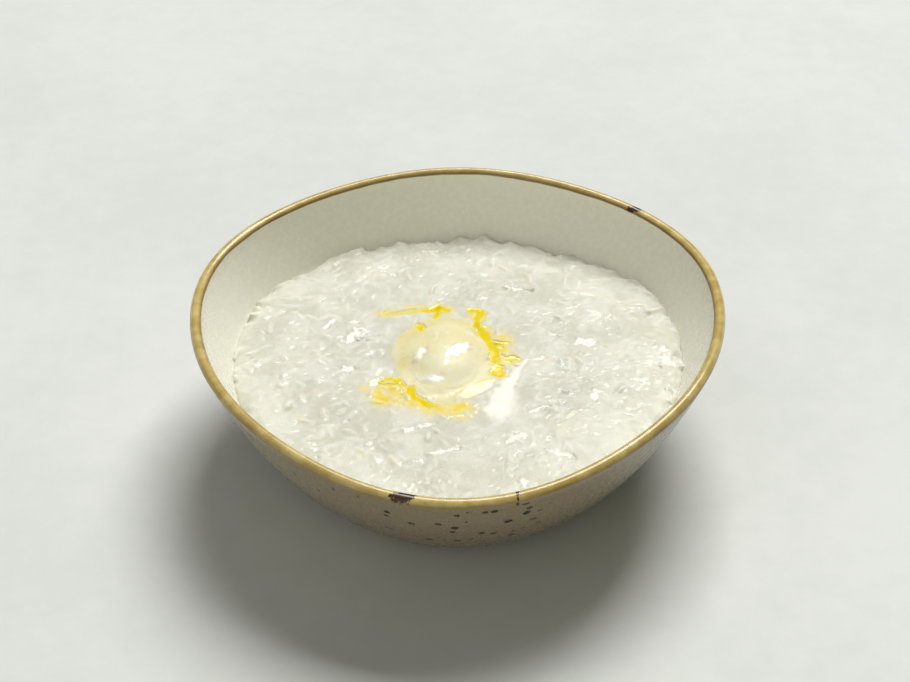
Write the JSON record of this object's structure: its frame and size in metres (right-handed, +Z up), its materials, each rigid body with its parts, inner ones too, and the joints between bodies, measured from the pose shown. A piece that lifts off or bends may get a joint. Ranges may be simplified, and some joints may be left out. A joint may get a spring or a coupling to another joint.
{
  "type": "bowl of rice porridge",
  "caption": "Soft triangular stoneware bowl filled with soft rice porridge, with a melting lump of butter in the middle and yellow melted butter round it.",
  "frame": {"origin": "on the table under the middle of the bowl's rim", "axes": "+Z up, the bowl's front corner points to -Y, +X to the right as seen from the front"},
  "size_m": [0.1866, 0.1878, 0.0588],
  "materials": {
    "glazed_stoneware": "glossy cream glaze with brown speckles and a gold-brown rim",
    "rice_porridge": "wet, slightly translucent",
    "butter": "soft and glossy",
    "melted_butter": "clear, liquid, glossy"
  },
  "bodies": {
    "root": {"bowl": "glazed_stoneware", "porridge": "rice_porridge", "butter": "butter", "melted_butter_right": "melted_butter", "melted_butter_front": "melted_butter", "melted_butter_back": "melted_butter"}
  },
  "joints": []
}
